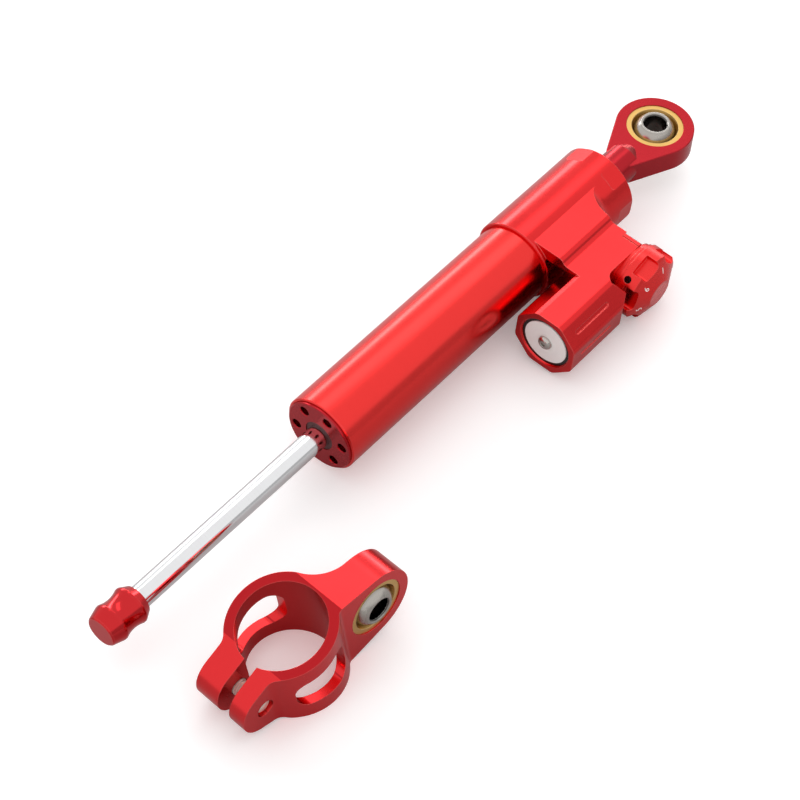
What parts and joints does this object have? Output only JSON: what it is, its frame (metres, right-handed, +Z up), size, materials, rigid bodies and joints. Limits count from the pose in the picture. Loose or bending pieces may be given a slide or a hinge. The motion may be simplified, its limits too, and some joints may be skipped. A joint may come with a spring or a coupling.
{
  "type": "motorcycle steering damper",
  "caption": "Through-rod steering damper with red barrel, side reservoir, click knob and ball-jointed rod eye, with its separate barrel clamp beside it.",
  "frame": {"origin": "centre of the ball in the rod eye", "axes": "+X along the barrel toward the rod eye, +Z up as the damper lies on a table, the reservoir and knob on the -Y side"},
  "size_m": [0.2969, 0.0781, 0.0321],
  "materials": {
    "red_anodised": "satin red anodised",
    "red_knob": "satin red anodised with pale printed figures",
    "chrome_rod": "hard chrome, ground along its length",
    "bright_plug": "fine turned, clear anodised",
    "steel_ball": "polished bearing steel",
    "steel_screw": "machined steel",
    "brass_race": "turned brass",
    "bronze_bush": "bronze bearing",
    "dark_ring": "black oxide",
    "black_seal": "smooth black rubber",
    "piston_band": "filled polymer band"
  },
  "bodies": {
    "barrel": {"barrel_tube": "red_anodised", "gland_cap": "red_anodised", "gland_bush": "bronze_bush", "gland_seal": "black_seal", "gland_o_ring": "black_seal", "head_housing": "red_anodised", "head_bush": "bronze_bush", "head_seal": "black_seal", "reservoir_plug": "bright_plug", "plug_ring": "dark_ring", "plug_o_ring": "black_seal", "plug_screw": "steel_screw", "knob_collar": "red_anodised", "detent_plunger": "steel_screw"},
    "band": {"piston_band": "piston_band"},
    "rod": {"damper_rod": "chrome_rod", "piston": "bright_plug", "piston_clips": "steel_screw", "rod_end_cap": "red_anodised", "rod_eye": "red_anodised", "eye_race": "brass_race"},
    "rod_ball": {"eye_ball": "steel_ball"},
    "adjuster": {"adjuster_knob": "red_knob", "grub_screw": "dark_ring", "adjuster_spindle": "steel_screw", "spindle_o_ring": "black_seal"},
    "compensator": {"compensator_piston": "bright_plug", "compensator_o_ring": "black_seal"},
    "clamp": {"clamp_body": "red_anodised", "clamp_race": "brass_race", "clamp_screw": "steel_screw"},
    "clamp_joint_ball": {"clamp_ball": "steel_ball"}
  },
  "joints": [
    {"name": "rod_stroke", "type": "slide", "parent": "barrel", "child": "band", "axis": [1, 0, 0], "range_m": [0, 0.08]},
    {"name": "rod_turn", "type": "hinge", "parent": "band", "child": "rod", "pos_m": [0, 0, 0], "axis": [1, 0, 0], "continuous": true},
    {"name": "eye_ball_tilt", "type": "hinge", "parent": "rod", "child": "rod_ball", "pos_m": [0, 0, 0], "axis": [0, 0.9981, 0.061], "range_deg": [-12, 12]},
    {"name": "knob_turn", "type": "hinge", "parent": "barrel", "child": "adjuster", "pos_m": [-0.0579, 0, 0], "axis": [0, -0.9954, -0.0961], "range_deg": [0, 270]},
    {"name": "compensator_float", "type": "slide", "parent": "barrel", "child": "compensator", "axis": [1, 0, 0], "range_m": [-0.003, 0.003]},
    {"name": "clamp_lift", "type": "slide", "parent": "barrel", "child": "clamp", "axis": [0, 0, 1], "range_m": [0, 0.06]},
    {"name": "clamp_ball_tilt", "type": "hinge", "parent": "clamp", "child": "clamp_joint_ball", "pos_m": [-0.22166, -0.05341, 0.00007], "axis": [-0.1285, 0.0092, 0.9917], "range_deg": [-12, 12]}
  ]
}
